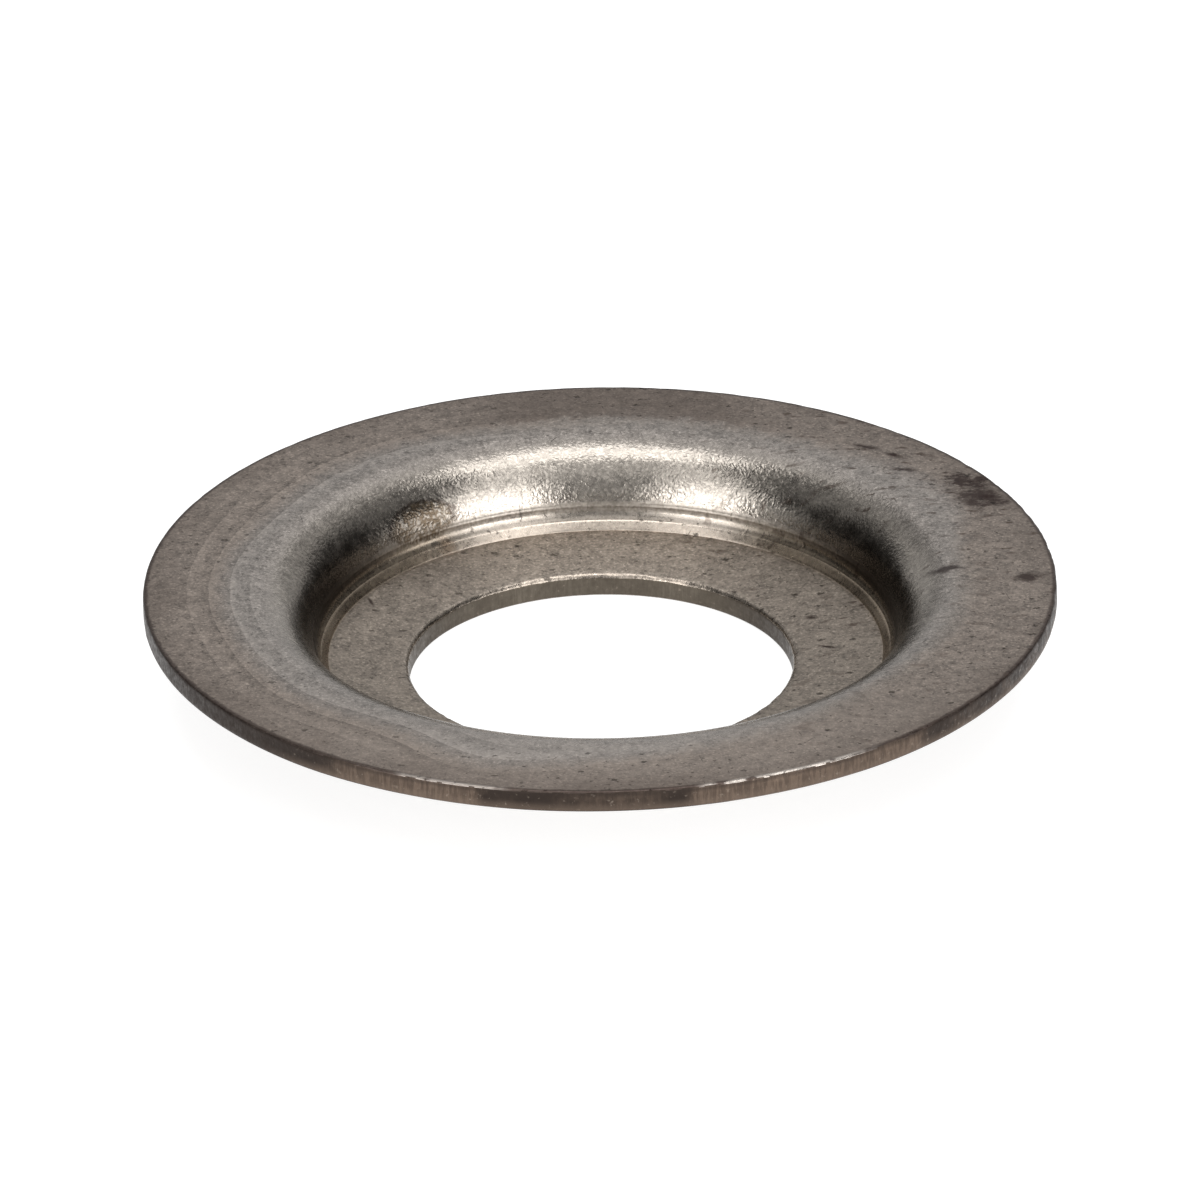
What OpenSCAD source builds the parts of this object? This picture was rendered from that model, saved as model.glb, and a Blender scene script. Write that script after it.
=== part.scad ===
// Dished spring seat washer, pressed from one piece of sheet steel.
// Millimetres. Z is up, the origin is the centre of the base underside.
// Half of the section is drawn in the plane of radius and height, then spun.

/* [Overall] */
// outside diameter of the flange
outer_d = 38; // [34:0.5:46]
// height from the base underside to the flange top
total_h = 4.55; // [4.2:0.05:6]
// thickness of the sheet
sheet_t = 0.95; // [0.8:0.05:1.2]

/* [Bore] */
// diameter of the punched centre hole
bore_d = 16; // [12:0.1:18.5]
// radius of the rolled upper edge of the hole
bore_roll = 0.25; // [0.1:0.05:0.4]

/* [Dish] */
// diameter at which the flat flange starts to roll down into the dish
mouth_d = 29.8; // [27:0.1:31.5]
// radius of the shoulder, on its upper side
shoulder_r = 2.8; // [2:0.05:3.2]
// steepness of the wall, in degrees from the base
wall_angle = 71; // [64:1:82]
// radius of the outside corner between wall and base
corner_r = 2.6; // [1.6:0.1:3]

/* [Floor] */
// rise of the floor from the hole to the coined corner
floor_rise = 0.38; // [0.1:0.02:0.5]
// width across of the inner coined band
band_in_w = 0.32; // [0.2:0.02:0.6]
// rise of the inner coined band
band_in_h = 0.33; // [0.2:0.01:0.4]
// width across of the outer coined band
band_out_w = 0.25; // [0.1:0.01:0.4]
// rise of the outer coined band
band_out_h = 0.59; // [0.4:0.01:0.8]

/* [Rim] */
// radius of the rolled lower edge of the flange rim
rim_roll = 0.2; // [0.1:0.05:0.4]

/* [Hidden] */
$fn = 128;
// added to each rounding so that it meets its two faces without a sliver
hair = 0.0001;

outer_r = outer_d / 2;
bore_r = bore_d / 2;
mouth_r = mouth_d / 2;
flange_z = total_h - sheet_t;

// the shoulder bends about one centre, above and below the sheet
bend_z = total_h - shoulder_r;
under_r = shoulder_r - sheet_t;
lean = cos(wall_angle) / sin(wall_angle);
in_r = mouth_r - shoulder_r * sin(wall_angle);
in_z = bend_z + shoulder_r * cos(wall_angle);
out_r = mouth_r - under_r * sin(wall_angle);
out_z = bend_z + under_r * cos(wall_angle);

// radius of the two wall faces at any height
function wall_in(z) = in_r + (z - in_z) * lean;
function wall_out(z) = out_r + (z - out_z) * lean;

// the coined corner, from the floor line to the foot of the wall
line_z = sheet_t + floor_rise;
ridge_z = line_z + band_in_h;
// the foot stays on the straight of the wall, below the shoulder
foot_z = min(ridge_z + band_out_h, in_z - 0.05);
foot_r = wall_in(foot_z);
ridge_r = foot_r - band_out_w;
line_r = ridge_r - band_in_w;

// centres of the rounded corners
corner_x = wall_out(0) - corner_r * tan(wall_angle / 2);
floor_tilt = atan2(floor_rise, line_r - bore_r);
roll_x = bore_r + bore_roll;
roll_z = sheet_t + bore_roll * (tan(floor_tilt) - 1 / cos(floor_tilt));

washer();

module washer() {
    color([0.47, 0.45, 0.43])
        rotate_extrude()
            section();
}

// the whole section, from the hole to the rim
module section() {
    difference() {
        union() {
            sharp_section();
            under_fillet();
        }
        shoulder_cut();
        corner_cut();
        bore_cut();
        rim_cut();
    }
}

// the section with every bend left sharp
module sharp_section() {
    polygon([
        [bore_r, 0],
        [wall_out(0), 0],
        [wall_out(flange_z), flange_z],
        [outer_r, flange_z],
        [outer_r, total_h],
        [wall_in(total_h), total_h],
        [foot_r, foot_z],
        [ridge_r, ridge_z],
        [line_r, line_z],
        [bore_r, sheet_t]
    ]);
}

// a wedge from a centre, between two directions given in degrees
module wedge(x, z, reach, from, to) {
    mid = (from + to) / 2;
    far = reach / cos((to - from) / 2);
    translate([x, z])
        polygon([
            [0, 0],
            [reach * cos(from), reach * sin(from)],
            [far * cos(mid), far * sin(mid)],
            [reach * cos(to), reach * sin(to)]
        ]);
}

// what is taken off to round a corner
module round_off(x, z, r, from, to) {
    difference() {
        wedge(x, z, r * 1.3, from, to);
        translate([x, z]) circle(r = r + hair);
    }
}

module shoulder_cut() {
    round_off(mouth_r, bend_z, shoulder_r, 90, 90 + wall_angle);
}

module corner_cut() {
    round_off(corner_x, corner_r, corner_r, -90, wall_angle - 90);
}

module bore_cut() {
    round_off(roll_x, roll_z, bore_roll, 90 + floor_tilt, 180);
}

module rim_cut() {
    round_off(outer_r - rim_roll, flange_z + rim_roll, rim_roll, -90, 0);
}

// what is added in the corner under the flange
module under_fillet() {
    difference() {
        wedge(mouth_r, bend_z, under_r + sheet_t * 0.3, 90, 90 + wall_angle);
        translate([mouth_r, bend_z]) circle(r = under_r + hair);
    }
}
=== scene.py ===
import bpy
import bmesh
import math
from mathutils import Matrix, Vector, noise
from types import SimpleNamespace


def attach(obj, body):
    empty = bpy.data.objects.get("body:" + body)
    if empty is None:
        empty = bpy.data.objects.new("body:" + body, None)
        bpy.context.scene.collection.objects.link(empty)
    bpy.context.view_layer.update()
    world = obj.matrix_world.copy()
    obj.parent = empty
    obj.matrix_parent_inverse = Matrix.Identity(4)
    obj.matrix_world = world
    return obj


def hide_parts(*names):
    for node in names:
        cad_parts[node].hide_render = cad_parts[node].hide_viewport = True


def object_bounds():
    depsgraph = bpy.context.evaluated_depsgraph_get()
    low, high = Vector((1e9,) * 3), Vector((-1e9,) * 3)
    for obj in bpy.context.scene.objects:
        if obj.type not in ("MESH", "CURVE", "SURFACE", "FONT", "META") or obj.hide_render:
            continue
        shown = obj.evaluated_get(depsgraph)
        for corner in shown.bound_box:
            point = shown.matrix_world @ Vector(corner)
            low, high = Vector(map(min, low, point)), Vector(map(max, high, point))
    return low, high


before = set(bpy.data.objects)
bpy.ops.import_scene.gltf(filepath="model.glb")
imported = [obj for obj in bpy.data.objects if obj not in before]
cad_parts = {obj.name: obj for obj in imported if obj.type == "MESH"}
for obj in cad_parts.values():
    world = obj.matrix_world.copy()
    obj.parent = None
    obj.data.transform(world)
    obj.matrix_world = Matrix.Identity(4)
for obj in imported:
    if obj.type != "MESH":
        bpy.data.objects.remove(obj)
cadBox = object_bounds()
print("frame loaded, cad box", [tuple(round(c * 1000, 3) for c in p) for p in cadBox])

mm = 0.001
inset = 0.002  # in millimetres, so that the piece stays inside the solid's box

# sizes in millimetres, the same as the solid's
section = {
    "outerR": cadBox[1].x / mm - inset,
    "height": cadBox[1].z / mm - inset,
    "boreR": 8.0,
    "sheet": 0.95,
    "boreRoll": 0.25,
    "mouthR": 14.9,
    "shoulderR": 2.8,
    "wallAngle": math.radians(71),
    "cornerR": 2.6,
    "floorRise": 0.38,
    "bandInW": 0.32,
    "bandInH": 0.33,
    "bandOutW": 0.25,
    "bandOutH": 0.59,
    "rimRoll": 0.20,
    "edgeBreak": 0.05,
    "rimEdge": 0.14,
    "bandHollow": math.radians(54),
    "creaseReach": 0.045,
    "creaseDepth": 0.013,
    "turnSteps": 520,
    # cuts of each straight run and steps of each bend, from the hole over the top to the base
    "steps": {
        "boreWall": 6,
        "boreRoll": 8,
        "floor": 20,
        "bandIn": 3,
        "bandOut": 10,
        "wall": 5,
        "shoulder": 24,
        "flange": 26,
        "rimEdge": 6,
        "rimWall": 6,
        "rimRoll": 5,
        "flangeUnder": 12,
        "shoulderUnder": 10,
        "wallUnder": 3,
        "corner": 14,
        "base": 8,
    },
}


# a pen that draws the section with one vertex at a time, in the plane y = 0
def penAt(bm, r, z):
    return bmesh.ops.create_vert(bm, co=(r * mm, 0, z * mm))["vert"][0]


def penLine(bm, tip, r, z, cuts):
    stride = (Vector((r * mm, 0, z * mm)) - tip.co) / (cuts + 1)
    for i in range(cuts + 1):
        tip = bmesh.ops.extrude_vert_indiv(bm, verts=[tip])["verts"][0]
        bmesh.ops.translate(bm, verts=[tip], vec=stride)
    return tip


def penBend(bm, tip, r, z, angle, steps):
    made = bmesh.ops.spin(bm, geom=[tip], cent=(r * mm, 0, z * mm), axis=(0, 1, 0), angle=angle, steps=steps)
    return [g for g in made["geom_last"] if isinstance(g, bmesh.types.BMVert)][0]


# a fine groove at a corner between two runs whose slopes are given
def penCrease(bm, tip, r, z, slopeIn, slopeOut, cuts, s):
    reach, depth = s["creaseReach"], s["creaseDepth"]
    middle = (slopeIn + slopeOut) / 2
    tip = penLine(bm, tip, r - reach * math.cos(slopeIn), z - reach * math.sin(slopeIn), cuts)
    tip = penLine(bm, tip, r + depth * math.sin(middle), z - depth * math.cos(middle), 1)
    return penLine(bm, tip, r + reach * math.cos(slopeOut), z + reach * math.sin(slopeOut), 1)


# the outer coined band is hollow, so it bends up towards a groove at the foot of the wall
def penHollow(bm, tip, footR, footZ, s):
    a, hollow = s["wallAngle"], s["bandHollow"]
    reach, depth = s["creaseReach"], s["creaseDepth"]
    start = tip.co / mm
    endR, endZ = footR - reach * math.cos(a), footZ - reach * math.sin(a)
    chord = math.hypot(endR - start.x, endZ - start.z)
    slope = math.atan2(endZ - start.z, endR - start.x) - hollow / 2
    bendR = chord / 2 / math.sin(hollow / 2)
    tip = penBend(bm, tip, start.x - bendR * math.sin(slope), start.z + bendR * math.cos(slope), -hollow,
                  s["steps"]["bandOut"])
    tip = penLine(bm, tip, footR + depth * math.sin(a), footZ - depth * math.cos(a), 0)
    return penLine(bm, tip, footR + reach * math.cos(a), footZ + reach * math.sin(a), 0)


def drawSection(bm, s):
    a = s["wallAngle"]
    n = s["steps"]
    lean = math.cos(a) / math.sin(a)
    bendZ = s["height"] - s["shoulderR"]
    underR = s["shoulderR"] - s["sheet"]
    flangeZ = s["height"] - s["sheet"]
    inR = s["mouthR"] - s["shoulderR"] * math.sin(a)
    inZ = bendZ + s["shoulderR"] * math.cos(a)
    outR = s["mouthR"] - underR * math.sin(a)
    outZ = bendZ + underR * math.cos(a)
    lineZ = s["sheet"] + s["floorRise"]
    ridgeZ = lineZ + s["bandInH"]
    footZ = ridgeZ + s["bandOutH"]
    footR = inR + (footZ - inZ) * lean
    ridgeR = footR - s["bandOutW"]
    lineR = ridgeR - s["bandInW"]
    tilt = math.atan2(s["floorRise"], lineR - s["boreR"])
    rollR = s["boreR"] + s["boreRoll"]
    rollZ = s["sheet"] + s["boreRoll"] * (math.tan(tilt) - 1 / math.cos(tilt))
    cornerX = outR - outZ * lean - s["cornerR"] * math.tan(a / 2)
    edge = s["rimEdge"]
    quarterTurn = math.pi / 2
    bandIn = math.atan2(s["bandInH"], s["bandInW"])
    bandOut = math.atan2(s["bandOutH"], s["bandOutW"]) - s["bandHollow"] / 2

    first = penAt(bm, s["boreR"], s["edgeBreak"])
    tip = penLine(bm, first, s["boreR"], rollZ, n["boreWall"])
    tip = penBend(bm, tip, rollR, rollZ, quarterTurn - tilt, n["boreRoll"])
    tip = penCrease(bm, tip, lineR, lineZ, tilt, bandIn, n["floor"], s)
    tip = penCrease(bm, tip, ridgeR, ridgeZ, bandIn, bandOut, n["bandIn"], s)
    tip = penHollow(bm, tip, footR, footZ, s)
    tip = penLine(bm, tip, inR, inZ, n["wall"])
    tip = penBend(bm, tip, s["mouthR"], bendZ, a, n["shoulder"])
    tip = penLine(bm, tip, s["outerR"] - edge, s["height"], n["flange"])
    tip = penBend(bm, tip, s["outerR"] - edge, s["height"] - edge, quarterTurn, n["rimEdge"])
    tip = penLine(bm, tip, s["outerR"], flangeZ + s["rimRoll"], n["rimWall"])
    tip = penBend(bm, tip, s["outerR"] - s["rimRoll"], flangeZ + s["rimRoll"], quarterTurn, n["rimRoll"])
    tip = penLine(bm, tip, s["mouthR"], flangeZ, n["flangeUnder"])
    tip = penBend(bm, tip, s["mouthR"], bendZ, -a, n["shoulderUnder"])
    tip = penLine(bm, tip, cornerX + s["cornerR"] * math.sin(a), s["cornerR"] * (1 - math.cos(a)),
                  n["wallUnder"])
    tip = penBend(bm, tip, cornerX, s["cornerR"], a, n["corner"])
    tip = penLine(bm, tip, s["boreR"] + s["edgeBreak"], 0, n["base"])
    bmesh.ops.contextual_create(bm, geom=[tip, first])


# what pressing and handling left: a dish off centre, an uneven flange, a nicked rim, a ragged hole edge
wearMarks = {
    "dishOff": 0.20,
    "dishFrom": (9.3, 10.4),
    "dishTo": (16.6, 14.9),
    "flangeDip": 0.035,
    "dipPerMm": 0.16,
    "nickDepth": 0.040,
    "nickReach": 0.45,
    "nickDown": 0.5,
    "nickPerMm": (1.7, 3.1),
    "nickFineShare": 0.6,
    "nickFineLevel": 9,
    "nickDrop": 0.8,
    "knockedLean": 0.4,
    "knockedFrom": (0.2, 0.8),
    "knockedLeast": 0.35,
    "knockedMore": 0.9,
    "tornDepth": 0.03,
    "tornReach": 0.05,
    "tornPerMm": (1.4, 1.4, 0.5),
    "holeNick": 0.060,
    "holeReach": (0.5, 0.1),
    "holeAbove": 0.6,
    "holePerMm": (1.3, 3.0),
    "holeLevels": (3, 5),
    "holeShares": (0.6, 0.4),
    "holeRaise": 0.1,
}


def smoothStep(low, high, value):
    t = min(1.0, max(0.0, (value - low) / (high - low)))
    return t * t * (3 - 2 * t)


def bumpAt(x, y, z, perMm):
    return noise.noise(Vector((x, y, z)) * perMm)


def wearFlange(x, y, z, r, s, w):
    out = Vector((x / r, y / r, 0))
    inside = s["outerR"] - r
    low = bumpAt(x, y, 0, w["dipPerMm"]) * 0.5 + 0.5
    push = Vector((0, 0, -w["flangeDip"] * low * smoothStep(s["mouthR"], s["outerR"], r)))
    edgeOnly = smoothStep(w["nickReach"], 0.0, inside)
    edgeOnly *= smoothStep(s["height"] - w["nickDown"], s["height"], z)
    coarse, fine = w["nickPerMm"]
    chip = max(0.0, bumpAt(x, y, z, coarse))
    chip += w["nickFineShare"] * max(0.0, bumpAt(x, y, w["nickFineLevel"], fine))
    # most of it on the right in front
    knocked = smoothStep(*w["knockedFrom"], (x - w["knockedLean"] * y) / r)
    knocked = w["knockedLeast"] + w["knockedMore"] * knocked
    push -= (out + Vector((0, 0, w["nickDrop"]))) * (w["nickDepth"] * chip * edgeOnly * knocked)
    alongX, alongY, alongZ = w["tornPerMm"]
    torn = bumpAt(x * alongX, y * alongY, z * alongZ, 1) * 0.5 + 0.5
    push -= out * (w["tornDepth"] * torn * smoothStep(w["tornReach"], 0.0, inside))
    return push


def wearHole(x, y, r, s, w):
    chip = sum(share * bumpAt(x, y, level, perMm)
               for share, level, perMm in zip(w["holeShares"], w["holeLevels"], w["holePerMm"]))
    chip = max(0.0, chip + w["holeRaise"])
    return Vector((0, 0, -w["holeNick"] * chip * smoothStep(*w["holeReach"], r - s["boreR"])))


def wearWasher(bm, s, w):
    for v in bm.verts:
        x, y, z = v.co / mm
        r = math.hypot(x, y)
        # the dish was pressed a little to the right of the hole and the rim
        push = Vector((w["dishOff"] * smoothStep(*w["dishFrom"], r) * smoothStep(*w["dishTo"], r), 0, 0))
        if r > s["mouthR"]:
            push += wearFlange(x, y, z, r, s, w)
        elif r < s["boreR"] + w["holeReach"][0] and z > w["holeAbove"]:
            push += wearHole(x, y, r, s, w)
        v.co += push * mm


def makeWasher(s):
    bm = bmesh.new()
    drawSection(bm, s)
    quarter = s["turnSteps"] // 4
    bmesh.ops.spin(bm, geom=bm.verts[:] + bm.edges[:], cent=(0, 0, 0), axis=(0, 0, 1),
                   angle=math.pi / 2, steps=quarter)
    for turn in (1, 2):  # twice as much each time, so two copies close the ring
        copied = bmesh.ops.duplicate(bm, geom=bm.verts[:] + bm.edges[:] + bm.faces[:])["geom"]
        bmesh.ops.rotate(bm, verts=[g for g in copied if isinstance(g, bmesh.types.BMVert)], cent=(0, 0, 0),
                         matrix=Matrix.Rotation(turn * math.pi / 2, 3, "Z"))
    bmesh.ops.remove_doubles(bm, verts=bm.verts[:], dist=1e-6)
    bmesh.ops.recalc_face_normals(bm, faces=bm.faces[:])
    wearWasher(bm, s, wearMarks)
    for f in bm.faces:
        f.smooth = True
    mesh = bpy.data.meshes.new("pressedWasher")
    bm.to_mesh(mesh)
    print("washer mesh", len(bm.verts), "vertices", len(bm.faces), "faces", "volume mm3",
          round(bm.calc_volume() * 1e9, 1))
    bm.free()
    piece = bpy.data.objects.new("pressedWasher", mesh)
    bpy.context.scene.collection.objects.link(piece)
    return piece


# node helpers
def put(tree, kind, values=None, **props):
    made = tree.nodes.new(kind)
    for key, value in props.items():
        setattr(made, key, value)
    for key, value in (values or {}).items():
        feed(tree, value, made.inputs[key])
    return made


def feed(tree, value, socket):
    if isinstance(value, bpy.types.NodeSocket):
        tree.links.new(value, socket)
    else:
        socket.default_value = value


def calc(tree, how, a, b=0.0, c=0.0, clamp=False):
    return put(tree, "ShaderNodeMath", {0: a, 1: b, 2: c}, operation=how, use_clamp=clamp).outputs[0]


def times(tree, first, *others):
    for other in others:
        first = calc(tree, "MULTIPLY", first, other)
    return first


# a times b, plus c
def blendIn(tree, a, b, c):
    return calc(tree, "MULTIPLY_ADD", a, b, c)


def highest(tree, a, b):
    return calc(tree, "MAXIMUM", a, b)


def vec(tree, how, a, b=(0, 0, 0)):
    return put(tree, "ShaderNodeVectorMath", {0: a, 1: b}, operation=how).outputs[0]


def lengthOf(tree, a):
    return put(tree, "ShaderNodeVectorMath", {0: a}, operation="LENGTH").outputs["Value"]


def turned(tree, a, angle):
    made = put(tree, "ShaderNodeVectorRotate", {"Vector": a, "Angle": angle}, rotation_type="Z_AXIS")
    return made.outputs[0]


def ramp(tree, value, low, high, toLow=0.0, toHigh=1.0):
    made = put(tree, "ShaderNodeMapRange", {"Value": value, "From Min": low, "From Max": high,
                                            "To Min": toLow, "To Max": toHigh},
               interpolation_type="SMOOTHSTEP")
    return made.outputs[0]


def blendColor(tree, share, a, b, how="MIX"):
    return put(tree, "ShaderNodeMix", {0: share, 6: a, 7: b}, data_type="RGBA", blend_type=how).outputs[2]


def cloud(tree, place, scale, detail=2.0, rough=0.5):
    made = put(tree, "ShaderNodeTexNoise", {"Vector": place, "Scale": scale, "Detail": detail,
                                            "Roughness": rough})
    return made.outputs["Fac"]


# a cloud that swings about nought
def swing(tree, place, scale, detail=2.0, rough=0.5):
    return calc(tree, "SUBTRACT", cloud(tree, place, scale, detail, rough), 0.5)


def objectMillimetres(tree):
    place = vec(tree, "SCALE", put(tree, "ShaderNodeTexCoord").outputs["Object"])
    place.node.inputs["Scale"].default_value = 1 / mm
    return place


def giveBump(tree, shader, relief):
    bump = put(tree, "ShaderNodeBump", {"Strength": 1.0, "Distance": mm, "Height": relief})
    tree.links.new(bump.outputs[0], shader.inputs["Normal"])


def newGroup(name, inputs, outputs):
    group = bpy.data.node_groups.new(name, "ShaderNodeTree")
    for title, kind, start in inputs:
        socket = group.interface.new_socket(name=title, in_out="INPUT", socket_type=kind)
        if start is not None:
            socket.default_value = start
    for title, kind in outputs:
        group.interface.new_socket(name=title, in_out="OUTPUT", socket_type=kind)
    return group, group.nodes.new("NodeGroupInput").outputs, group.nodes.new("NodeGroupOutput").inputs


def useGroup(tree, group, values):
    made = tree.nodes.new("ShaderNodeGroup")
    made.node_tree = group
    for key, value in values.items():
        feed(tree, value, made.inputs[key])
    return made.outputs


vector, number = "NodeSocketVector", "NodeSocketFloat"


# radius, direction from the axis and height of a point given in millimetres
def makeRingPlace():
    tree, given, out = newGroup("ringPlace", [("Place", vector, None)],
                                [("Radius", number), ("Around", vector), ("Height", number)])
    flat = vec(tree, "MULTIPLY", given["Place"], (1, 1, 0))
    tree.links.new(lengthOf(tree, flat), out["Radius"])
    tree.links.new(vec(tree, "NORMALIZE", flat), out["Around"])
    tree.links.new(put(tree, "ShaderNodeSeparateXYZ", {0: given["Place"]}).outputs["Z"], out["Height"])
    return tree


pitLook = {"wobblePerMm": 7.0, "wobble": 0.30, "flatten": 1.5, "sizes": (0.8, 0.2), "softFrom": 0.45}


# scattered small pits with ragged edges
def makePits(look):
    tree, given, out = newGroup("pressPits", [("Place", vector, None), ("PerMm", number, 2.0),
                                              ("Share", number, 0.4), ("Size", number, 0.25)],
                                [("Mask", number)])
    wobble = put(tree, "ShaderNodeTexNoise", {"Vector": given["Place"], "Scale": look["wobblePerMm"],
                                              "Detail": 2.0}).outputs["Color"]
    wobble = vec(tree, "SUBTRACT", wobble, (0.5, 0.5, 0.5))
    wobble = vec(tree, "MULTIPLY", wobble, (look["wobble"], look["wobble"], look["wobble"]))
    place = vec(tree, "MULTIPLY", vec(tree, "ADD", given["Place"], wobble), (1.0, look["flatten"], 1.0))
    cells = put(tree, "ShaderNodeTexVoronoi", {"Vector": place, "Scale": given["PerMm"]}, feature="F1",
                voronoi_dimensions="2D")
    lot = put(tree, "ShaderNodeSeparateColor", {0: cells.outputs["Color"]})
    reach = times(tree, given["Size"], blendIn(tree, lot.outputs[1], *look["sizes"]))
    inside = ramp(tree, cells.outputs["Distance"], reach, times(tree, reach, look["softFrom"]))
    chosen = calc(tree, "LESS_THAN", lot.outputs[0], given["Share"])
    tree.links.new(times(tree, inside, chosen), out["Mask"])
    return tree


# short fine scratches that lie one way
def makeScratches(softness=0.06):
    tree, given, out = newGroup("fineScratches", [("Place", vector, None), ("Turn", number, 0.0),
                                                  ("PerMm", number, 1.2), ("Slim", vector, (1.0, 9.0, 1.0)),
                                                  ("Cut", number, 0.70)], [("Mask", number)])
    drawn = vec(tree, "MULTIPLY", turned(tree, given["Place"], given["Turn"]), given["Slim"])
    grain = cloud(tree, drawn, given["PerMm"], 2.0, 0.5)
    tree.links.new(ramp(tree, grain, given["Cut"], calc(tree, "ADD", given["Cut"], softness)), out["Mask"])
    return tree


stainLook = {"edgeAt": 0.8, "streaks": (1.0, 1.5, 1.0), "torn": (7.0, 0.74), "tornBy": 4.0}


# one stain round a place on the washer, torn into streaks that lie along X
def makeStain(look):
    tree, given, out = newGroup("oilStain", [("Place", vector, None), ("Centre", vector, None),
                                             ("Turn", number, 0.0), ("Stretch", vector, None),
                                             ("Ragged", number, 0.8), ("PerMm", number, 1.1),
                                             ("Soft", number, 0.55)], [("Mask", number)])
    off = turned(tree, vec(tree, "SUBTRACT", given["Place"], given["Centre"]), given["Turn"])
    away = lengthOf(tree, vec(tree, "DIVIDE", off, given["Stretch"]))
    torn = swing(tree, vec(tree, "MULTIPLY", given["Place"], look["streaks"]), given["PerMm"], *look["torn"])
    edge = blendIn(tree, torn, times(tree, given["Ragged"], look["tornBy"]), away)
    start = calc(tree, "ADD", look["edgeAt"], given["Soft"])
    end = calc(tree, "SUBTRACT", look["edgeAt"], given["Soft"])
    tree.links.new(ramp(tree, edge, start, end), out["Mask"])
    return tree


pebbleLook = {"ring": 12.8, "along": 0.75, "wormTo": 0.18, "finer": 1.9, "broader": 0.5, "worm": 0.22,
              "grit": 0.35, "broad": 0.45}


# pebbled skin where the sheet was stretched, a little longer along the draw than around it
def makeDrawGrain(look):
    tree, given, out = newGroup("drawGrain", [("Around", vector, None), ("Radius", number, 0.0),
                                              ("Height", number, 0.0), ("PerMm", number, 4.4)],
                                [("Grain", number)])
    along = times(tree, calc(tree, "ADD", given["Height"], given["Radius"]), look["along"])
    spread = put(tree, "ShaderNodeCombineXYZ", {2: along}).outputs[0]
    place = vec(tree, "ADD", vec(tree, "MULTIPLY", given["Around"], (look["ring"], look["ring"], 0)), spread)
    worm = calc(tree, "ABSOLUTE", swing(tree, place, given["PerMm"], 1.0))
    worm = calc(tree, "SUBTRACT", ramp(tree, worm, 0.0, look["wormTo"]), 0.5)
    grit = swing(tree, place, times(tree, given["PerMm"], look["finer"]), 1.0)
    broad = swing(tree, place, times(tree, given["PerMm"], look["broader"]), 1.0)
    mixed = blendIn(tree, grit, look["grit"], times(tree, worm, look["worm"]))
    tree.links.new(blendIn(tree, broad, look["broad"], mixed), out["Grain"])
    return tree


ringPlace = makeRingPlace()
pressPits = makePits(pitLook)
fineScratches = makeScratches()
oilStain = makeStain(stainLook)
drawGrain = makeDrawGrain(pebbleLook)
print("shader groups made")

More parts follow.
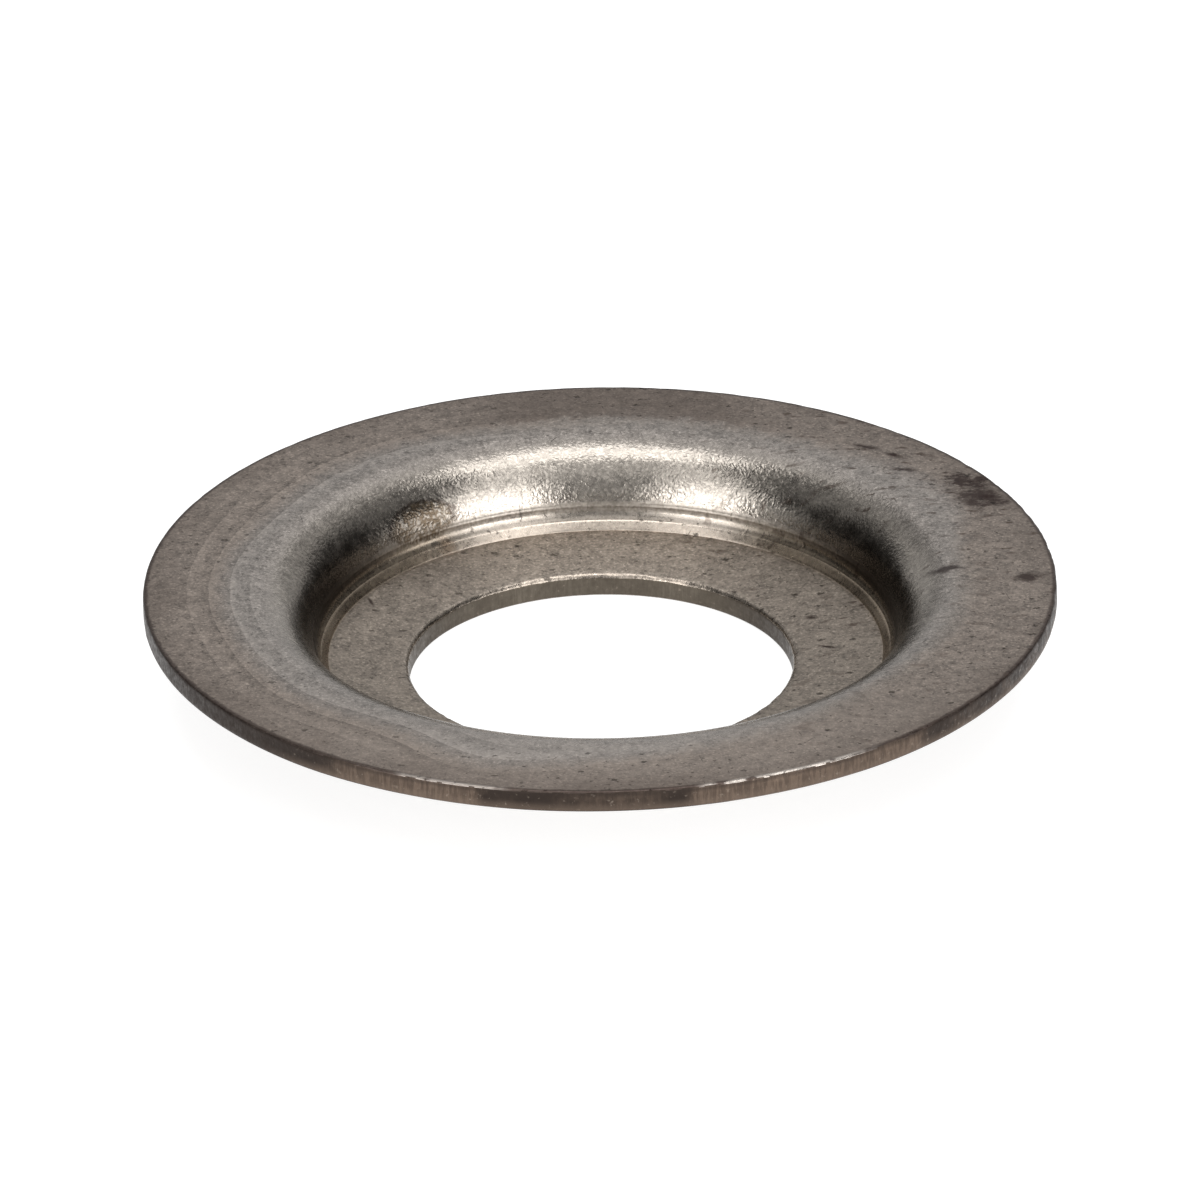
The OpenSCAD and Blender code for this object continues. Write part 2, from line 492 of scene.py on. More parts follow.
# A tuple of two numbers is the range over which a layer comes in, and two more say from what to what it goes.
# From and to lie along the radius, words in -wards along X or Y, and aside means to both sides of the middle.
# A name that ends in By says how far a cloud frays the range.
steelLook = {
    "floorSteel": (0.303, 0.262, 0.222, 1),
    "wallSteel": (0.310, 0.282, 0.250, 1),
    "greySteel": (0.293, 0.266, 0.244, 1),
    "brownSteel": (0.244, 0.208, 0.180, 1),
    "tarnish": (0.062, 0.042, 0.032, 1),
    "pit": (0.008, 0.006, 0.004, 1),
    # colour of the placed stains, also used for the painted shade on the rim's rounded edge
    "stainAndEdgeShade": (0.024, 0.013, 0.012, 1),
    # colour of the painted shade low on the side walls
    "sideWallShade": (0.030, 0.022, 0.016, 1),
    "tan": (0.125, 0.096, 0.068, 1),
    "rust": (0.26, 0.14, 0.06, 1),
    "warm": (1.0, 0.92, 0.80, 1),
    # colour of the painted highlights on the rim's rounded edge
    "edgeHighlightColor": (0.42, 0.38, 0.345, 1),
    "edgeTint": (0.80, 0.80, 0.80, 1),
    # how fine, how detailed and how rough each cloud is
    "clouds": {
        "broad": (0.30, 5.0, 0.62),
        "middle": (1.3, 5.0, 0.65),
        "fine": (6.5, 3.0, 0.65),
        "smooth": (0.11, 0.0),
        "patchy": (3.0, 3.0, 0.6),
        "grit": (9.0, 1.0),
        "highlightLengths": (0.9, 4.0, 0.6),
    },
    "zones": {
        "drawnFrom": (12.1, 12.2),
        "drawnTo": (16.1, 14.5),
        "drawnBy": 2.0,
        "coinedFrom": (11.48, 11.60),
        "coinedTo": (12.15, 12.05),
        "wallFrom": (12.0, 12.1),
        "wallTo": (14.7, 13.5),
        "rolled": (8.45, 8.15),
    },
    "tones": {
        "shoreSmoothBy": 4.5,
        "shoreMiddleBy": 0.22,
        "wallFrom": (11.6, 12.4),
        "greyFrom": (13.2, 14.4),
        "brownFrom": (15.2, 16.7),
        "brownBy": 0.8,
    },
    "tides": {"perMm": 0.9, "leftwards": (4.0, -9.0, 0.03, 0.36), "from": (14.2, 15.0), "to": (18.2, 17.0)},
    "mottle": {
        "fine": 1.25,
        "patchy": 1.05,
        "middle": 1.0,
        "light": (0.58, 0.72, 0.0, 0.55),
        "dark": (0.42, 0.28, 0.0, 0.32),
        "plain": (0.0, 1.0, 1.0, 0.4),
        "forwards": (-8.0, -13.0, 1.0, 0.65),
        # share of the painted shading of the grain on the wall
        "grain": 1.2,
    },
    "shading": {
        # painted shade on the floor of the dish, to both sides
        "floorShadeTo": (11.3, 11.5),
        "floorShadeAside": (3.0, 6.5, 1.03, 0.87),
        # painted highlight on the inner coined band
        "bandHighlightTo": (11.92, 11.80),
        "bandHighlightAside": (9.5, 6.0, 0.12, 0.42),
        "dullRightwards": (6.0, 12.0, 0.0, 0.06),
        "dullBy": 9.0,
        "dullFrom": (15.0, 16.5),
        "forwards": (-11.0, -15.0, 1.0, 1.10),
        "warmAside": (5.0, 8.0, 0.0, 0.8),
    },
    "film": {
        "rimFrom": (16.8, 19.6),
        "rimBy": 4.0,
        "rimShare": 0.34,
        "bandFrom": (15.6, 16.3),
        "bandBy": 3.0,
        "bandBackwards": (11.5, 15.0),
        "bandX": 0.8,
        "bandBeside": (8.0, 3.5, 0.10, 0.50),
        "lapFrom": (16.6, 19.3, 0.0, 0.50),
        "lapBy": 2.0,
        "lapForwards": (-13.0, -17.5),
        "lapX": 1.4,
        "lapBeside": (5.0, 2.0, 0.3, 1.0),
    },
    # the rim's rounded edge: painted shade all round, painted highlights on two lengths in front
    "rim": {
        "dirtFrom": (18.72, 18.86),
        "dirtBy": 0.25,
        "dirtShare": 0.7,
        "rightFrom": (3.6, 4.6),
        "rightTo": (11.6, 9.6),
        "leftFrom": (-8.6, -7.9),
        "leftTo": (-3.6, -4.6, 0.0, 0.6),
        "forwards": (-8.0, -11.0),
        "broken": (0.33, 0.48),
        "wornFrom": (18.74, 18.86),
        "wornShare": 0.9,
    },
    "dashes": {
        "marks": {"PerMm": 0.9, "Slim": (1.0, 2.4, 1.0), "Cut": 0.585},
        "rightwards": (2.0, 12.0, 0.10, 0.85),
        "rightBy": 26.0,
        "patches": (-0.08, 0.10, 0.15, 1.0),
        "backwards": (-3.0, 6.0, 0.50, 1.0),
    },
    "stains": [
        {"Centre": (16.0, 7.6, 4.5), "Stretch": (1.35, 1.10, 2.0), "Turn": 0.5, "Ragged": 0.80},
        {"Centre": (15.6, 9.1, 4.5), "Stretch": (1.1, 0.7, 2.0), "Turn": 0.4, "Ragged": 1.5},
        {"Centre": (17.8, -0.1, 4.5), "Stretch": (0.65, 0.50, 2.0), "Turn": 0.0, "Ragged": 0.8},
        {"Centre": (14.4, 0.9, 4.5), "Stretch": (0.80, 0.32, 2.0), "Turn": 0.1, "Ragged": 0.9},
        {"Centre": (12.5, 11.7, 4.5), "Stretch": (0.55, 0.20, 2.0), "Turn": 0.5, "Ragged": 0.8, "Soft": 0.78},
        {"Centre": (11.3, 12.6, 4.5), "Stretch": (0.60, 0.16, 2.0), "Turn": 0.4, "Ragged": 0.8, "Soft": 0.78},
        {"Centre": (12.9, 10.3, 4.5), "Stretch": (0.70, 0.16, 2.0), "Turn": 0.2, "Ragged": 0.9, "Soft": 0.78},
        {"Centre": (-9.62, 5.18, 1.2), "Stretch": (0.42, 0.09, 1.0), "Turn": 1.25, "Ragged": 0.15},
        {"Centre": (9.45, 0.58, 1.2), "Stretch": (0.48, 0.10, 1.0), "Turn": 0.45, "Ragged": 0.35},
        {"Centre": (8.90, 3.30, 1.1), "Stretch": (0.34, 0.20, 1.0), "Turn": 0.0, "Ragged": 0.8},
    ],
    "stainShare": 0.85,
    "wallStain": {
        "mark": {"Centre": (-7.8, 9.9, 2.70), "Stretch": (2.25, 2.25, 1.05), "Turn": 0.0, "Ragged": 0.12,
                 "Soft": 0.09},
        "driedAbove": (2.2, 2.9, 0.0, 2.4),
        "rightwards": (-9.8, -8.0),
        "pebbles": (-3.0, 0.66),
    },
    # painted shade low on the side walls of the dish
    "foot": {"to": (12.95, 12.35), "toBy": 0.5, "from": (11.9, 12.1), "aside": (7.2, 11.6, 0.0, 0.94)},
    "rustSpot": {"Centre": (-6.5, 9.85, 1.5), "Stretch": (0.45, 0.45, 0.4), "Turn": 0.0, "Ragged": 0.7},
    "rustShare": 0.35,
    "pits": {
        "small": {"PerMm": 2.0, "Share": 0.46, "Size": 0.22},
        "smallShare": 0.55,
        "large": {"PerMm": 0.8, "Share": 0.36, "Size": 0.17},
        "largeShare": 0.70,
        "largeShift": (31.0, 17.0, 5.0),
        "drawn": (0.2, 1.0, 1.0, 0.25),
        "rightwards": (-9.0, 7.0, 0.80, 1.0),
        "rightBy": 20.0,
        "scratches": [{"Turn": 0.3, "Cut": 0.72}, {"Turn": 1.35, "Cut": 0.73}, {"Turn": 2.3, "Cut": 0.725}],
        "scratchShare": 0.6,
    },
    "gloss": {
        "drawn": (0.0, 1.0, 0.42, 0.26),
        "polished": -0.14,
        "middle": 0.16,
        "fine": 0.22,
        "dirty": 0.15,
    },
    # heights in millimetres
    "relief": {"grain": 0.018, "fine": 0.005, "fineCoined": -0.0045, "rolled": 0.05, "marks": -0.008},
}


# what the layers of the steel share: where a point is, clouds, and how far it lies in each zone
def readPoint(tree, look):
    at = SimpleNamespace(place=objectMillimetres(tree))
    fromDish = vec(tree, "SUBTRACT", at.place, (wearMarks["dishOff"], 0, 0))
    ring = useGroup(tree, ringPlace, {"Place": fromDish})
    at.radius, at.height = ring["Radius"], ring["Height"]
    at.rimRadius = useGroup(tree, ringPlace, {"Place": at.place})["Radius"]
    spot = put(tree, "ShaderNodeSeparateXYZ", {0: at.place}).outputs
    at.x, at.y = spot["X"], spot["Y"]
    at.aside = calc(tree, "ABSOLUTE", at.x)
    for name in ("broad", "middle", "fine", "smooth", "patchy"):
        setattr(at, name, swing(tree, at.place, *look["clouds"][name]))

    zones = look["zones"]
    frayed = blendIn(tree, at.middle, zones["drawnBy"], at.radius)
    at.drawn = times(tree, ramp(tree, at.radius, *zones["drawnFrom"]), ramp(tree, frayed, *zones["drawnTo"]))
    at.coined = times(tree, ramp(tree, at.radius, *zones["coinedFrom"]),
                      ramp(tree, at.radius, *zones["coinedTo"]))
    at.wall = times(tree, ramp(tree, at.radius, *zones["wallFrom"]), ramp(tree, at.radius, *zones["wallTo"]))
    at.rolled = ramp(tree, at.rimRadius, *zones["rolled"])
    at.grain = useGroup(tree, drawGrain, {"Around": ring["Around"], "Radius": at.radius,
                                          "Height": at.height})["Grain"]
    return at


# four tones from the floor to the rim, tide lines left by drying oil, mottling, painted shading of the grain
# on the wall, and the painted shade and highlight of shadeSteel
def toneSteel(tree, at, look):
    tones, tides = look["tones"], look["tides"]
    shore = blendIn(tree, at.smooth, tones["shoreSmoothBy"], at.radius)
    shore = blendIn(tree, at.middle, tones["shoreMiddleBy"], shore)
    color = blendColor(tree, ramp(tree, at.radius, *tones["wallFrom"]), look["floorSteel"], look["wallSteel"])
    color = blendColor(tree, ramp(tree, at.radius, *tones["greyFrom"]), color, look["greySteel"])
    browned = blendIn(tree, at.middle, tones["brownBy"], shore)
    color = blendColor(tree, ramp(tree, browned, *tones["brownFrom"]), color, look["brownSteel"])

    tide = calc(tree, "SUBTRACT", calc(tree, "FRACT", times(tree, shore, tides["perMm"])), 0.5)
    clear = times(tree, ramp(tree, at.x, *tides["leftwards"]), ramp(tree, at.radius, *tides["from"]),
                  ramp(tree, at.radius, *tides["to"]))
    shade = calc(tree, "ADD", blendIn(tree, tide, clear, 1.0), mottleSteel(tree, at, look))
    # the grain also lightens and darkens the colour of the wall: painted shading of its pebbles
    shade = blendIn(tree, times(tree, at.grain, at.wall), look["mottle"]["grain"], shade)
    shade = shadeSteel(tree, at, look["shading"], shade)
    grey = put(tree, "ShaderNodeCombineColor", {0: shade, 1: shade, 2: shade}).outputs[0]
    color = blendColor(tree, 1.0, color, grey, "MULTIPLY")
    warmth = times(tree, at.coined, ramp(tree, at.aside, *look["shading"]["warmAside"]))
    return blendColor(tree, warmth, color, look["warm"], "MULTIPLY")


# mottling at three sizes, and light and dark specks, all weaker on the burnished wall and in front
def mottleSteel(tree, at, look):
    mottle = look["mottle"]
    grit = cloud(tree, at.place, *look["clouds"]["grit"])
    mixed = blendIn(tree, at.fine, mottle["fine"], ramp(tree, grit, *mottle["light"]))
    mixed = calc(tree, "SUBTRACT", mixed, ramp(tree, grit, *mottle["dark"]))
    mixed = blendIn(tree, at.patchy, mottle["patchy"], mixed)
    mixed = blendIn(tree, at.middle, mottle["middle"], mixed)
    plain = highest(tree, at.wall, at.coined)
    return times(tree, mixed, ramp(tree, plain, *mottle["plain"]), ramp(tree, at.y, *mottle["forwards"]))


# painted shade darkens the floor of the dish to both sides and a painted highlight brightens the inner coined
# band, most in the middle; the flange is dull on the right and pale in front
def shadeSteel(tree, at, shading, shade):
    floor = highest(tree, ramp(tree, at.radius, *shading["floorShadeTo"]),
                    ramp(tree, at.aside, *shading["floorShadeAside"]))
    paintedBandHighlight = times(tree, at.coined, ramp(tree, at.radius, *shading["bandHighlightTo"]))
    band = blendIn(tree, paintedBandHighlight, ramp(tree, at.aside, *shading["bandHighlightAside"]), 1.0)
    frayed = blendIn(tree, at.broad, shading["dullBy"], at.x)
    dull = times(tree, ramp(tree, frayed, *shading["dullRightwards"]),
                 ramp(tree, at.radius, *shading["dullFrom"]))
    bright = calc(tree, "SUBTRACT", 1.0, dull)
    return times(tree, shade, floor, band, bright, ramp(tree, at.y, *shading["forwards"]))


# tarnish that thickens towards the rim, a band of it at the back and a lap of it in front
def tarnishSteel(tree, at, look, color):
    film = look["film"]
    rim = ramp(tree, blendIn(tree, at.broad, film["rimBy"], at.radius), *film["rimFrom"])
    layers = times(tree, rim, film["rimShare"])
    for name, way in (("band", "Backwards"), ("lap", "Forwards")):
        frayed = blendIn(tree, at.middle, film[name + "By"], at.radius)
        beside = calc(tree, "ABSOLUTE", calc(tree, "SUBTRACT", at.x, film[name + "X"]))
        layer = times(tree, ramp(tree, frayed, *film[name + "From"]), ramp(tree, at.y, *film[name + way]),
                      ramp(tree, beside, *film[name + "Beside"]))
        layers = highest(tree, layers, layer)
    return blendColor(tree, layers, color, look["tarnish"])


# painted shade darkens the rounded edge of the rim all round, and painted highlights lie on two lengths of it
# in front
def dirtyRim(tree, at, look, color):
    rim = look["rim"]
    dirt = ramp(tree, blendIn(tree, at.middle, rim["dirtBy"], at.rimRadius), *rim["dirtFrom"])
    color = blendColor(tree, times(tree, dirt, rim["dirtShare"]), color, look["stainAndEdgeShade"])
    right = times(tree, ramp(tree, at.x, *rim["rightFrom"]), ramp(tree, at.x, *rim["rightTo"]))
    left = times(tree, ramp(tree, at.x, *rim["leftFrom"]), ramp(tree, at.x, *rim["leftTo"]))
    broken = ramp(tree, cloud(tree, at.place, *look["clouds"]["highlightLengths"]), *rim["broken"])
    highlightLengths = times(tree, highest(tree, right, left), ramp(tree, at.y, *rim["forwards"]), broken)
    # the painted highlight lengths on the rounded edge, which glossSteel also makes smoother
    at.worn = times(tree, ramp(tree, at.rimRadius, *rim["wornFrom"]), highlightLengths)
    return blendColor(tree, times(tree, at.worn, rim["wornShare"]), color, look["edgeHighlightColor"])


# brown dashes that lie along X, most of them on the right and at the back
def dashSteel(tree, at, look, color):
    dashes = look["dashes"]
    dash = useGroup(tree, fineScratches, {"Place": at.place, **dashes["marks"]})["Mask"]
    where = ramp(tree, blendIn(tree, at.broad, dashes["rightBy"], at.x), *dashes["rightwards"])
    where = times(tree, where, ramp(tree, at.middle, *dashes["patches"]),
                  ramp(tree, at.y, *dashes["backwards"]))
    return blendColor(tree, times(tree, dash, where), color, look["tarnish"])


# placed stains, the dried one on the wall, painted shade low on the side walls of the dish and a touch of
# rust
def stainSteel(tree, at, look, color):
    masks = [useGroup(tree, oilStain, {"Place": at.place, **mark})["Mask"] for mark in look["stains"]]
    at.dirt = masks[0]
    for mask in masks[1:]:
        at.dirt = highest(tree, at.dirt, mask)
    color = blendColor(tree, times(tree, at.dirt, look["stainShare"]), color, look["stainAndEdgeShade"])

    onWall, foot = look["wallStain"], look["foot"]
    oily = useGroup(tree, oilStain, {"Place": at.place, **onWall["mark"]})["Mask"]
    outline = times(tree, oily, calc(tree, "SUBTRACT", 1.0, oily))
    dried = times(tree, outline, ramp(tree, at.height, *onWall["driedAbove"]))
    faded = times(tree, oily, ramp(tree, at.x, *onWall["rightwards"]))
    pebbles = calc(tree, "MULTIPLY_ADD", at.grain, *onWall["pebbles"], clamp=True)
    color = blendColor(tree, times(tree, faded, pebbles), color, look["tan"])
    color = blendColor(tree, dried, color, look["stainAndEdgeShade"])
    # painted shade low on the side walls, strongest to both sides
    low = ramp(tree, blendIn(tree, at.middle, foot["toBy"], at.radius), *foot["to"])
    low = times(tree, low, ramp(tree, at.radius, *foot["from"]), ramp(tree, at.aside, *foot["aside"]))
    color = blendColor(tree, low, color, look["sideWallShade"])
    rusty = useGroup(tree, oilStain, {"Place": at.place, **look["rustSpot"]})["Mask"]
    return blendColor(tree, times(tree, rusty, look["rustShare"]), color, look["rust"])


def pitSteel(tree, at, look, color):
    pits = look["pits"]
    small = useGroup(tree, pressPits, {"Place": at.place, **pits["small"]})["Mask"]
    shifted = vec(tree, "ADD", at.place, pits["largeShift"])
    large = useGroup(tree, pressPits, {"Place": shifted, **pits["large"]})["Mask"]
    marks = highest(tree, times(tree, small, pits["smallShare"]), times(tree, large, pits["largeShare"]))
    frayed = blendIn(tree, at.broad, pits["rightBy"], at.x)
    at.marks = times(tree, marks, ramp(tree, at.drawn, *pits["drawn"]),
                     ramp(tree, frayed, *pits["rightwards"]))
    for scratch in pits["scratches"]:
        line = useGroup(tree, fineScratches, {"Place": at.place, **scratch})["Mask"]
        at.marks = highest(tree, at.marks, times(tree, line, pits["scratchShare"]))
    return blendColor(tree, at.marks, color, look["pit"])


def glossSteel(tree, at, gloss):
    polished = highest(tree, highest(tree, at.coined, at.rolled), at.worn)
    rough = blendIn(tree, polished, gloss["polished"], ramp(tree, at.drawn, *gloss["drawn"]))
    rough = blendIn(tree, at.middle, gloss["middle"], rough)
    rough = blendIn(tree, at.fine, gloss["fine"], rough)
    return blendIn(tree, highest(tree, at.marks, at.dirt), gloss["dirty"], rough)


def reliefSteel(tree, at, relief):
    raised = times(tree, at.grain, at.drawn, relief["grain"])
    fineDepth = blendIn(tree, at.coined, relief["fineCoined"], relief["fine"])
    raised = blendIn(tree, at.fine, fineDepth, raised)
    raised = blendIn(tree, at.middle, times(tree, at.rolled, relief["rolled"]), raised)
    return blendIn(tree, at.marks, relief["marks"], raised)


def newMaterial(name):
    mat = bpy.data.materials.new(name)
    mat.use_nodes = True
    return mat, mat.node_tree, mat.node_tree.nodes["Principled BSDF"]


def makeSteel(look):
    mat, tree, shader = newMaterial("rawSteel")
    at = readPoint(tree, look)
    color = toneSteel(tree, at, look)
    for layer in (tarnishSteel, dirtyRim, dashSteel, stainSteel, pitSteel):
        color = layer(tree, at, look, color)
    tree.links.new(color, shader.inputs["Base Color"])
    tree.links.new(glossSteel(tree, at, look["gloss"]), shader.inputs["Roughness"])
    shader.inputs["Metallic"].default_value = 1.0
    shader.inputs["Specular Tint"].default_value = look["edgeTint"]
    giveBump(tree, shader, reliefSteel(tree, at, look["relief"]))
    return mat


edgeLook = {
    "rimDark": (0.029, 0.021, 0.017, 1),
    "rimBrown": (0.124, 0.090, 0.068, 1),
    # painted reflection of the bright floor, low on the rim side
    "floorReflection": (0.174, 0.130, 0.100, 1),
    "holeDark": (0.084, 0.069, 0.053, 1),
    "holeGrey": (0.152, 0.130, 0.103, 1),
    "bright": (0.32, 0.265, 0.215, 1),
    "rimFrom": (12.0, 14.0),
    # painted reflections: the paler lengths of the rim, on the right and on the left; painted shade: the dark
    # end on the left
    "reflectedLengths": [((2.8, 4.4), (13.5, 12.0)), ((-12.2, -9.0), (-4.4, -6.0))],
    "shadedLeftwards": (-11.5, -14.5),
    "shadedShare": 0.85,
    # how far the painted reflection, the plain rim and the painted shade shift the patches of colour
    "lean": {"pale": 0.53, "usual": -0.18, "dark": 0.36},
    "patch": (0.5, 5.0, 0.62),
    "patchRange": (0.22, 0.76),
    "drag": (7.0, 3.0, 0.6),
    "dragSlim": (1.0, 1.0, 0.16),
    "dragRange": (0.40, 0.62, 0.45, 0.0),
    "rust": (4.5, 4.0, 0.65),
    "rustRange": (0.60, 0.74, 0.0, 0.40),
    # the wall of the hole is darker where the flange hides the light
    "holeRightwards": (4.5, 7.2, 0.0, 0.60),
    "holeLeftwards": (-4.0, -7.0, 0.0, 0.22),
    # the painted floor reflection comes in towards the bottom of the rim, weaker at the shaded left end
    "floorReflectionBelow": (4.10, 3.66, 0.0, 0.45),
    "floorReflectionShaded": -0.45,
    "lipAbove": (4.22, 4.42, 0.0, 0.6),
    "metallic": 0.85,
    "gloss": (0.3, 0.7, 0.60, 0.36),
    "reliefDrag": 0.010,
    "reliefRust": 0.010,
}


# blanked rim and punched hole, torn and browned, with painted reflections and painted shade on the rim side
def makeShearedEdge(look):
    mat, tree, shader = newMaterial("shearedEdge")
    place = objectMillimetres(tree)
    ring = useGroup(tree, ringPlace, {"Place": place})
    x = put(tree, "ShaderNodeSeparateXYZ", {0: place}).outputs["X"]
    rim = ramp(tree, ring["Radius"], *look["rimFrom"])
    hole = calc(tree, "SUBTRACT", 1.0, rim)
    dark = blendColor(tree, rim, look["holeDark"], look["rimDark"])
    pale = blendColor(tree, rim, look["holeGrey"], look["rimBrown"])

    # painted reflections on the paler lengths and painted shade at the left end
    right, left = [times(tree, ramp(tree, x, *start), ramp(tree, x, *end))
                   for start, end in look["reflectedLengths"]]
    reflected = highest(tree, right, left)
    shadedLeft = ramp(tree, x, *look["shadedLeftwards"])
    lean = blendIn(tree, reflected, look["lean"]["pale"], look["lean"]["usual"])
    lean = calc(tree, "SUBTRACT", lean, times(tree, shadedLeft, look["lean"]["dark"]))
    patch = blendIn(tree, lean, rim, cloud(tree, place, *look["patch"]))
    drag = cloud(tree, vec(tree, "MULTIPLY", place, look["dragSlim"]), *look["drag"])
    rust = cloud(tree, place, *look["rust"])
    color = blendColor(tree, ramp(tree, patch, *look["patchRange"]), dark, pale)
    color = blendColor(tree, ramp(tree, drag, *look["dragRange"]), color, dark)
    color = blendColor(tree, ramp(tree, rust, *look["rustRange"]), color, look["bright"])

    hidden = highest(tree, ramp(tree, x, *look["holeRightwards"]), ramp(tree, x, *look["holeLeftwards"]))
    color = blendColor(tree, times(tree, hidden, hole), color, look["rimDark"])
    # painted reflection of the floor low on the rim
    foot = times(tree, ramp(tree, ring["Height"], *look["floorReflectionBelow"]), rim)
    foot = times(tree, foot, blendIn(tree, shadedLeft, look["floorReflectionShaded"], 1.0))
    color = blendColor(tree, foot, color, look["floorReflection"])
    color = blendColor(tree, ramp(tree, ring["Height"], *look["lipAbove"]), color, look["rimDark"])
    # painted shade at the left end of the rim
    color = blendColor(tree, times(tree, shadedLeft, look["shadedShare"]), color, look["rimDark"])
    tree.links.new(color, shader.inputs["Base Color"])
    tree.links.new(ramp(tree, rust, *look["gloss"]), shader.inputs["Roughness"])
    shader.inputs["Metallic"].default_value = look["metallic"]
    giveBump(tree, shader, blendIn(tree, drag, look["reliefDrag"], times(tree, rust, look["reliefRust"])))
    return mat


# faces of the rim and the hole that take the sheared edge
shearedFaces = {"upright": 0.4, "rimReach": 0.15, "holeReach": 0.12}


def dressWasher(piece, s, sheared):
    piece.data.materials.append(makeSteel(steelLook))
    piece.data.materials.append(makeShearedEdge(edgeLook))
    for face in piece.data.polygons:
        reach = Vector(face.center[:2]).length / mm
        upright = abs(face.normal.z) < sheared["upright"]
        atRim = reach > s["outerR"] - sheared["rimReach"]
        atHole = reach < s["boreR"] + sheared["holeReach"]
        if upright and (atRim or atHole):
            face.material_index = 1


washer = makeWasher(section)
dressWasher(washer, section, shearedFaces)
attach(washer, "root")
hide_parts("washer")
print("washer dressed")

# floor, sunk a little so that it doesn't lie in the base of the washer
floorLook = {"half": 4.0, "sunk": 0.00002, "color": (0.36, 0.36, 0.36, 1), "rough": 0.9, "glow": 0.80}


def makeFloor(look):
    bm = bmesh.new()
    bmesh.ops.create_grid(bm, x_segments=1, y_segments=1, size=look["half"])
    bmesh.ops.translate(bm, verts=bm.verts[:], vec=(0, 0, -look["sunk"]))
    mesh = bpy.data.meshes.new("paleFloor")
    bm.to_mesh(mesh)
    bm.free()
    floor = bpy.data.objects.new("paleFloor", mesh)
    bpy.context.scene.collection.objects.link(floor)
    paper, tree, board = newMaterial("palePaper")
    board.inputs["Base Color"].default_value = look["color"]
    board.inputs["Roughness"].default_value = look["rough"]
    board.inputs["Emission Color"].default_value = (1, 1, 1, 1)
    board.inputs["Emission Strength"].default_value = look["glow"]
    floor.data.materials.append(paper)


makeFloor(floorLook)
print("floor laid")

# camera, fitted to the photo of 1200 x 1200 pixels
cameraFit = {
    "distance": 0.570,
    "elevation": math.radians(26.74),
    "roll": math.radians(0.974),
    "focalPixels": 13674.0,
    "frame": 1200,
    "originRight": 1.4,
    "originDown": 80.5,
    "sensor": 36,
    "clip": (0.01, 50),
}


def makeCamera(c):
    e = c["elevation"]
    right = Vector((1, 0, 0))
    up = Vector((0, math.sin(e), math.cos(e)))
    place = Vector((0, -math.cos(e), math.sin(e))) * c["distance"]
    upRolled = up * math.cos(c["roll"]) + right * math.sin(c["roll"])
    rightRolled = right * math.cos(c["roll"]) - up * math.sin(c["roll"])
    perPixel = c["distance"] / c["focalPixels"]
    target = upRolled * (c["originDown"] * perPixel) - rightRolled * (c["originRight"] * perPixel)
    backward = (place - target).normalized()
    across = upRolled.cross(backward).normalized()
    upright = backward.cross(across)
    turn = Matrix((across, upright, backward)).transposed()
    data = bpy.data.cameras.new("photoCamera")
    data.sensor_width = c["sensor"]
    data.lens = c["focalPixels"] / c["frame"] * c["sensor"]
    data.clip_start, data.clip_end = c["clip"]
    camera = bpy.data.objects.new("photoCamera", data)
    camera.matrix_world = Matrix.Translation(place) @ turn.to_4x4()
    bpy.context.scene.collection.objects.link(camera)
    bpy.context.scene.camera = camera


makeCamera(cameraFit)
bpy.context.scene.view_settings.view_transform = "Standard"
print("camera placed")

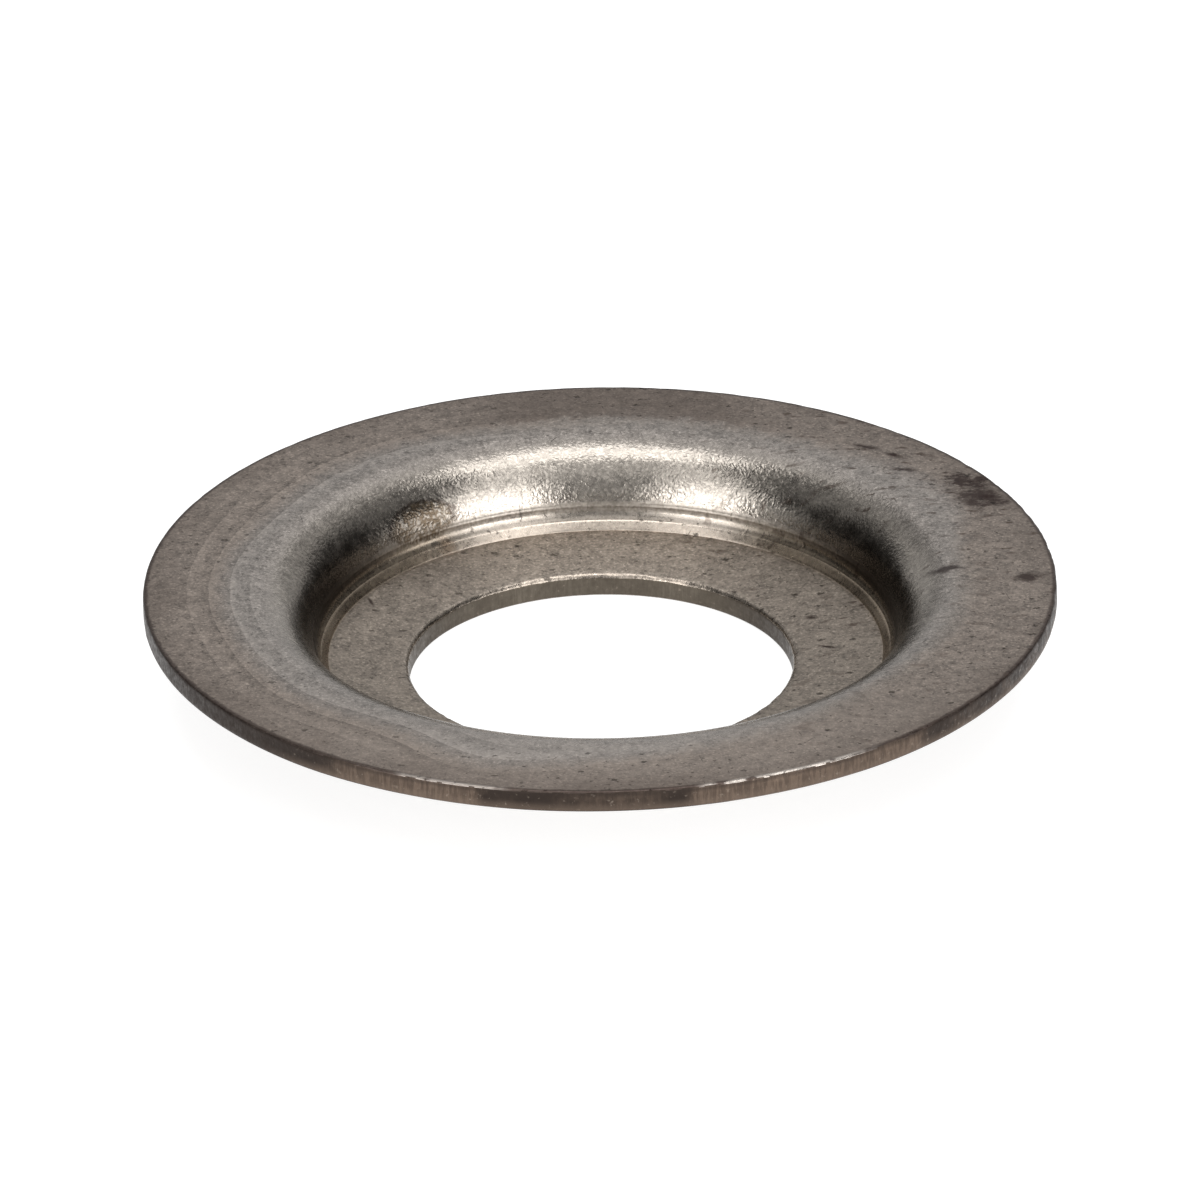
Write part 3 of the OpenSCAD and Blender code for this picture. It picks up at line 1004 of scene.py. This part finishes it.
# lights: direction seen from the washer in degrees, size in metres and level of each soft box
studio = {
    "world": 0.05,
    "backdrop": 1.0,
    "boxes": [
        {"name": "lowRight", "azimuth": 40, "rise": 9, "width": 0.61, "height": 0.28, "level": 7.8},
        {"name": "lowLeft", "azimuth": -37.5, "rise": 9, "width": 0.55, "height": 0.28, "level": 7.3},
        {"name": "midRight", "azimuth": 42, "rise": 28, "width": 0.60, "height": 0.38, "level": 3.8},
        {"name": "midLeft", "azimuth": -42, "rise": 28, "width": 0.58, "height": 0.38, "level": 3.5},
        {"name": "wideRight", "azimuth": 73, "rise": 13, "width": 0.32, "height": 0.34, "level": 2.9},
        {"name": "wideLeft", "azimuth": -74, "rise": 11, "width": 0.34, "height": 0.30, "level": 0.42},
        {"name": "sideRight", "azimuth": 115, "rise": 42, "width": 0.75, "height": 0.40, "level": 0.22},
        {"name": "sideLeft", "azimuth": -115, "rise": 42, "width": 0.75, "height": 0.40, "level": 0.26},
        {"name": "front", "azimuth": 0, "rise": 22, "width": 0.40, "height": 0.56, "level": 0.45},
        {"name": "frontHigh", "azimuth": 0, "rise": 55, "width": 0.36, "height": 0.52, "level": 1.10},
        {"name": "upperRight", "azimuth": 46, "rise": 53, "width": 0.40, "height": 0.42, "level": 2.4},
        {"name": "upperLeft", "azimuth": -46, "rise": 53, "width": 0.40, "height": 0.38, "level": 2.1},
        {"name": "top", "azimuth": 90, "rise": 87.5, "width": 0.46, "height": 0.91, "level": 4.0},
        {"name": "backHigh", "azimuth": 180, "rise": 63, "width": 0.90, "height": 0.52, "level": 0.95},
        {"name": "backPanel", "azimuth": 176, "rise": 24, "width": 0.60, "height": 0.97, "level": 0.74},
        {"name": "backRightLow", "azimuth": 150, "rise": 9, "width": 0.44, "height": 0.44, "level": 0.58},
        {"name": "backRightHigh", "azimuth": 149, "rise": 37, "width": 0.50, "height": 0.50, "level": 0.46},
        {"name": "backLeftLow", "azimuth": -151, "rise": 11, "width": 0.46, "height": 0.58, "level": 0.68},
        {"name": "backLeftHigh", "azimuth": -150, "rise": 40, "width": 0.52, "height": 0.46, "level": 0.28},
    ],
}


# one rectangle of light, a metre away and facing the washer
def softBox(name, azimuth, rise, width, height, level):
    a, e = math.radians(azimuth), math.radians(rise)
    place = Vector((math.sin(a) * math.cos(e), -math.cos(a) * math.cos(e), math.sin(e)))
    data = bpy.data.lights.new(name, "AREA")
    data.shape = "RECTANGLE"
    data.size = width
    data.size_y = height
    data.energy = level * math.pi * width * height
    box = bpy.data.objects.new(name, data)
    box.location = place
    box.rotation_mode = "QUATERNION"
    box.rotation_quaternion = (-place).to_track_quat("-Z", "Y")
    box.visible_camera = False
    bpy.context.scene.collection.objects.link(box)


def makeStudio(s):
    world = bpy.data.worlds.new("studio")
    bpy.context.scene.world = world
    world.use_nodes = True
    tree = world.node_tree
    sky = tree.nodes["Background"]
    sky.inputs["Color"].default_value = (1, 1, 1, 1)
    # the camera sees a white backdrop past the floor, and the washer reflects a dim one
    seen = put(tree, "ShaderNodeLightPath").outputs["Is Camera Ray"]
    tree.links.new(ramp(tree, seen, 0.0, 1.0, s["world"], s["backdrop"]), sky.inputs["Strength"])
    for box in s["boxes"]:
        softBox(**box)


makeStudio(studio)
print("studio lit")

bpy.context.view_layer.update()
